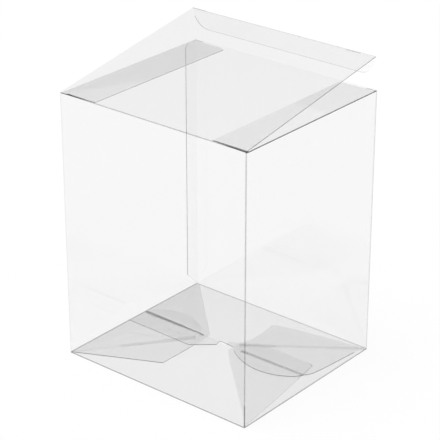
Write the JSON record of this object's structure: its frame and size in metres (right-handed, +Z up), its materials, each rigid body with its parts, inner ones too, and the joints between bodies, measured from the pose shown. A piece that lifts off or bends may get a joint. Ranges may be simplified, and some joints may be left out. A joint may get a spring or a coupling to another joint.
{
  "type": "clear folding box protector",
  "caption": "Clear film box for keeping a boxed figure safe, with a hinged tuck lid, two dust flaps and an interlocked bottom.",
  "frame": {"origin": "middle of the footprint, at the level the box stands on", "axes": "+Z up, X along the lid's crease and the box's width, +Y from the wall that carries the lid to the wall that the tuck flap goes behind"},
  "size_m": [0.165, 0.1438, 0.2298],
  "materials": {
    "folded_box": "clear, smooth and glossy stiff film",
    "lid": "clear, smooth and glossy stiff film",
    "tuck_flap": "clear, smooth and glossy stiff film"
  },
  "bodies": {
    "box": {"folded_box": "folded_box"},
    "lid": {"lid": "lid"},
    "tuck_flap": {"tuck_flap": "tuck_flap"}
  },
  "joints": [
    {"name": "lid_crease", "type": "hinge", "parent": "box", "child": "lid", "pos_m": [0, -0.07162, 0.20475], "axis": [1, 0, 0], "range_deg": [-10, 170]},
    {"name": "tuck_crease", "type": "hinge", "parent": "lid", "child": "tuck_flap", "pos_m": [0, 0.06866, 0.22949], "axis": [1, 0, 0], "range_deg": [-7, 93]}
  ]
}
